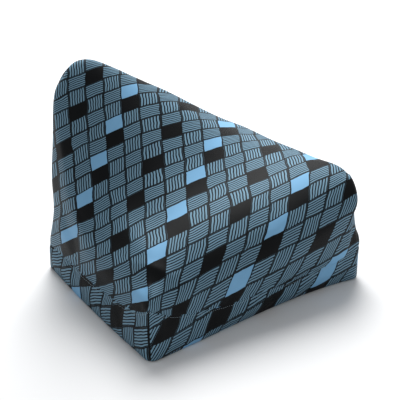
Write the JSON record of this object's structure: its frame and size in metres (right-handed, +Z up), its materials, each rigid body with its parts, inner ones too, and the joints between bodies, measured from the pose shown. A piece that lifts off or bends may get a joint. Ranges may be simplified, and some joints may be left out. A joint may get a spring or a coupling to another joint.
{
  "type": "filled bean bag lounger cover",
  "caption": "Filled bean bag lounger cover: a soft sack on a boxed foot band, with one back corner drawn up to a rounded peak over a level seat.",
  "frame": {"origin": "centre of the bounding box, on the floor under the base", "axes": "+Z up; +X along the long front, away from the side that carries the peak; -Y is the front; the peak stands over the -X, +Y corner"},
  "size_m": [0.8674, 0.6896, 0.7803],
  "materials": {
    "printed_cloth": "matt woven cloth with a plain lined lozenge print in black and light blue"
  },
  "bodies": {
    "root": {"bean_bag_cover": "printed_cloth"}
  },
  "joints": []
}
